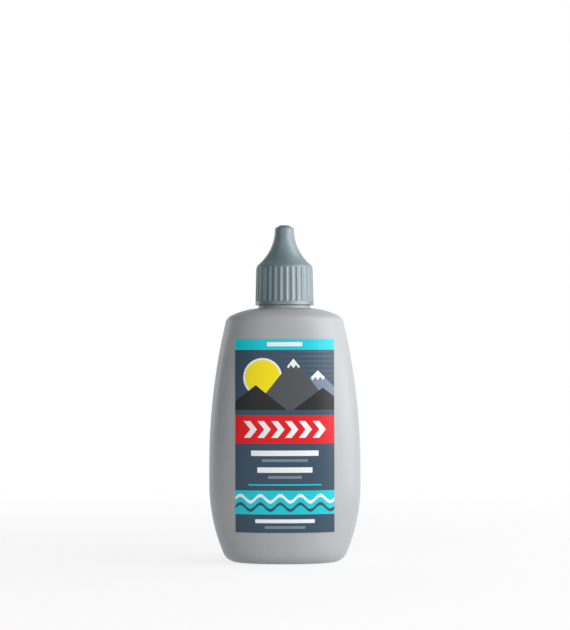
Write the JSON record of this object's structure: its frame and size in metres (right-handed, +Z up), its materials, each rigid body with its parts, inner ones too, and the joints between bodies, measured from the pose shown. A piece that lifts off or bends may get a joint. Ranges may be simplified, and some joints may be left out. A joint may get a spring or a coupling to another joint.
{
  "type": "chain lube bottle",
  "caption": "Oval squeeze bottle for bicycle chain lube, with a dropper nozzle, a ribbed conical screw cap and a printed front label.",
  "frame": {"origin": "centre of the foot, on the surface that the bottle stands on", "axes": "+Z up through the neck and the cap's tip, +X to the right as seen from the label side, +Y from front to back, so the label faces -Y"},
  "size_m": [0.0568, 0.0342, 0.1267],
  "materials": {
    "silver_polyethylene": "silver pigmented blow-moulded polyethylene, satin",
    "natural_polyethylene": "natural translucent low-density polyethylene",
    "grey_polypropylene": "grey-green moulded polypropylene, satin gloss",
    "printed_film": "slate film printed with red, teal and white fields under a gloss varnish"
  },
  "bodies": {
    "bottle_body": {"bottle": "silver_polyethylene", "nozzle_insert": "natural_polyethylene", "front_label": "printed_film"},
    "cap_body": {"screw_cap": "grey_polypropylene"}
  },
  "joints": [
    {"name": "cap_lift", "type": "slide", "parent": "bottle_body", "child": "cap_body", "axis": [0, 0, 1], "range_m": [0, 0.035]}
  ]
}
